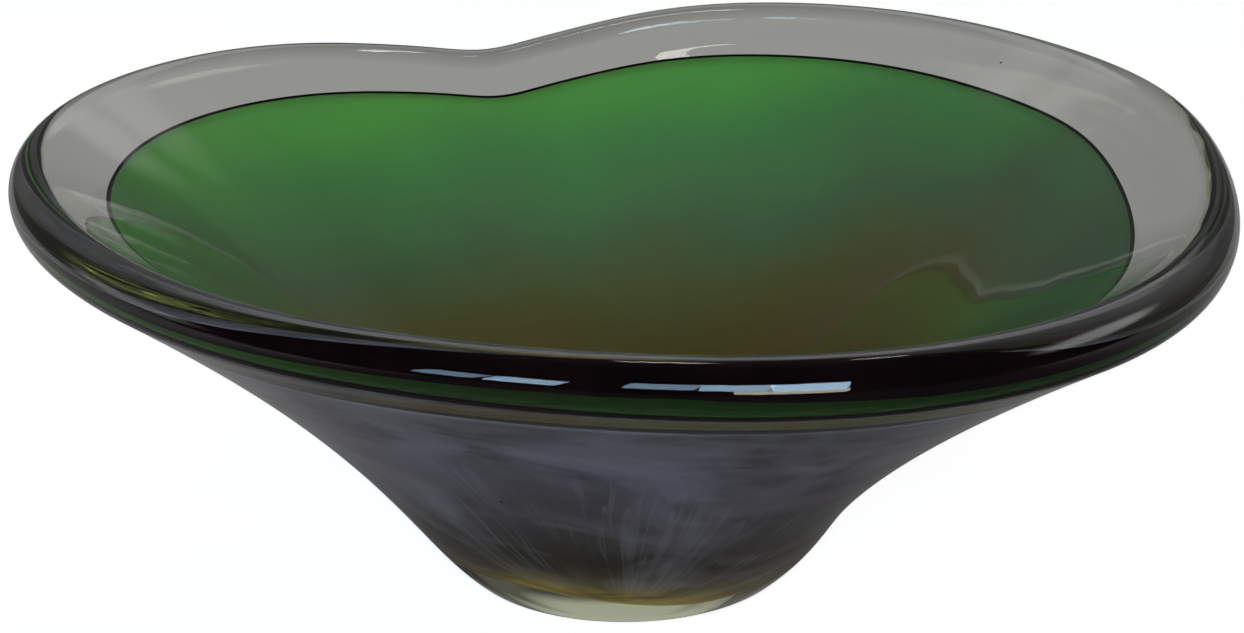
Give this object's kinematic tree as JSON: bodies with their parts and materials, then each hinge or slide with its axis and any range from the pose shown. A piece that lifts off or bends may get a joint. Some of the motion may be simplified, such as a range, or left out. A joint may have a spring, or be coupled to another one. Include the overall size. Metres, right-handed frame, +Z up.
{
  "type": "art glass bowl",
  "caption": "Free-form cased glass bowl: green inside, cloudy lilac outside, a heavy clear rolled rim with a plum line below it, and a solid clear foot ground flat.",
  "frame": {"origin": "centre of the foot's ground face, on the surface that the bowl stands on", "axes": "+Z up out of the bowl's mouth, +Y towards the rim's dent, +X towards the higher side of the rim"},
  "size_m": [0.2651, 0.2737, 0.1091],
  "materials": {
    "casing_glass": "clear fire-polished glass with a slight smoky tone",
    "lilac_glass": "cloudy lilac-grey glass with fine upright streaks",
    "green_glass": "dense green glass, fading to olive and brown at the bottom",
    "plum_glass": "dark plum glass thread",
    "lining_glass": "thin clear glass, glossy"
  },
  "bodies": {
    "root": {"clear_outer_casing": "casing_glass", "lilac_layer": "lilac_glass", "green_layer": "green_glass", "plum_lip_wrap": "plum_glass", "clear_inner_lining": "lining_glass"}
  },
  "joints": []
}
